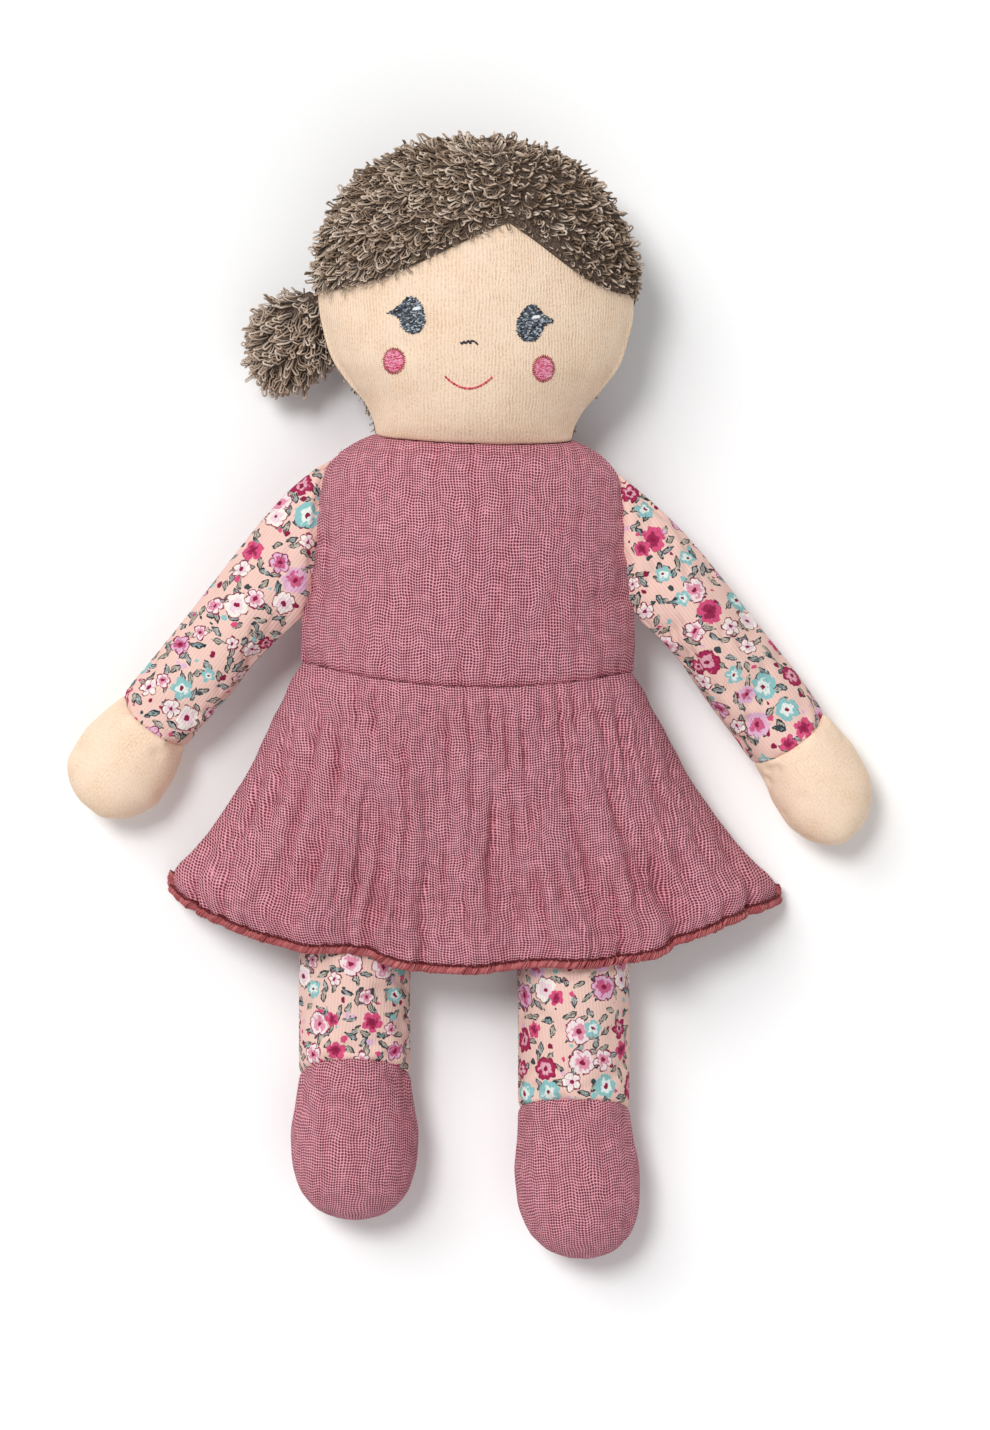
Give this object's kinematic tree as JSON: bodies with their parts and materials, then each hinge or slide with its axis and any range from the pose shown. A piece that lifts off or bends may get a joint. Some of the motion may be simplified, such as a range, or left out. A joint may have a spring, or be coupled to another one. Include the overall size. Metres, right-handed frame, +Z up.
{
  "type": "rag doll",
  "caption": "Soft stuffed rag doll lying on its back, with a sewn head, terry hair and side bunch, printed sleeves and legs, and a crinkled muslin dress.",
  "frame": {"origin": "middle of the flat on the back of the bodice, on the surface where the doll lies", "axes": "+X to the viewer's right, +Y to the top of the head, +Z up out of the face"},
  "size_m": [0.2425, 0.3343, 0.0575],
  "materials": {
    "muslin": "crinkled double gauze, matt",
    "velour": "short-pile velour, matt",
    "terry": "looped terry, matt",
    "jersey": "printed cotton jersey, matt",
    "edging": "overlocked sewing thread",
    "eye_thread": "satin-stitched embroidery thread",
    "glint_thread": "satin-stitched embroidery thread",
    "cheek_thread": "satin-stitched embroidery thread",
    "mouth_thread": "satin-stitched embroidery thread",
    "nose_thread": "satin-stitched embroidery thread",
    "fibre": "loose polyester fibre"
  },
  "bodies": {
    "torso": {"bodice_front": "muslin", "bodice_back": "muslin", "seat_cover": "muslin", "torso_filling": "fibre", "neck_seam": "muslin", "hip_seam": "muslin", "left_shoulder_seam": "muslin", "right_shoulder_seam": "muslin"},
    "head": {"face_panel": "velour", "fringe_left": "terry", "fringe_right": "terry", "hair_back": "terry", "head_filling": "fibre", "left_eye": "eye_thread", "right_eye": "eye_thread", "left_eye_glint": "glint_thread", "right_eye_glint": "glint_thread", "left_cheek": "cheek_thread", "right_cheek": "cheek_thread", "nose_stitches": "nose_thread", "mouth_stitches": "mouth_thread"},
    "bunch": {"bunch_cover": "terry", "bunch_filling": "fibre"},
    "left_arm": {"left_sleeve": "jersey", "left_hand": "velour", "left_arm_filling": "fibre"},
    "right_arm": {"right_sleeve": "jersey", "right_hand": "velour", "right_arm_filling": "fibre"},
    "lap": {"skirt_front": "muslin", "skirt_back": "muslin", "hem_front": "edging", "hem_back": "edging"},
    "left_leg_body": {"left_leg": "jersey", "left_shoe": "muslin", "left_leg_filling": "fibre"},
    "right_leg_body": {"right_leg": "jersey", "right_shoe": "muslin", "right_leg_filling": "fibre"}
  },
  "joints": [
    {"name": "neck_nod", "type": "hinge", "parent": "torso", "child": "head", "pos_m": [0.0011, 0.03688, 0.0255], "axis": [0.9996, -0.0297, 0], "range_deg": [-40, 45]},
    {"name": "bunch_flop", "type": "hinge", "parent": "head", "child": "bunch", "pos_m": [-0.046, 0.078, 0.024], "axis": [0, 1, 0], "range_deg": [0, 90]},
    {"name": "left_shoulder", "type": "hinge", "parent": "torso", "child": "left_arm", "pos_m": [-0.04732, 0.00691, 0.0255], "axis": [0.1908, 0.9816, 0], "range_deg": [-35, 55]},
    {"name": "right_shoulder", "type": "hinge", "parent": "torso", "child": "right_arm", "pos_m": [0.04764, 0.00409, 0.0255], "axis": [0.1323, -0.9912, 0], "range_deg": [-35, 55]},
    {"name": "hip_fold", "type": "hinge", "parent": "torso", "child": "lap", "pos_m": [-0.00184, -0.07198, 0.0255], "axis": [-0.9996, 0.0297, 0], "range_deg": [-20, 90], "deforming": ["skirt_front", "skirt_back", "hem_front", "hem_back"]},
    {"name": "left_leg_spread", "type": "hinge", "parent": "lap", "child": "left_leg_body", "pos_m": [-0.02428, -0.07131, 0.0255], "axis": [0, 0, -1], "range_deg": [-5, 15], "deforming": ["left_leg"]},
    {"name": "right_leg_spread", "type": "hinge", "parent": "lap", "child": "right_leg_body", "pos_m": [0.0206, -0.07264, 0.0255], "axis": [0, 0, 1], "range_deg": [-5, 15], "deforming": ["right_leg"]}
  ]
}
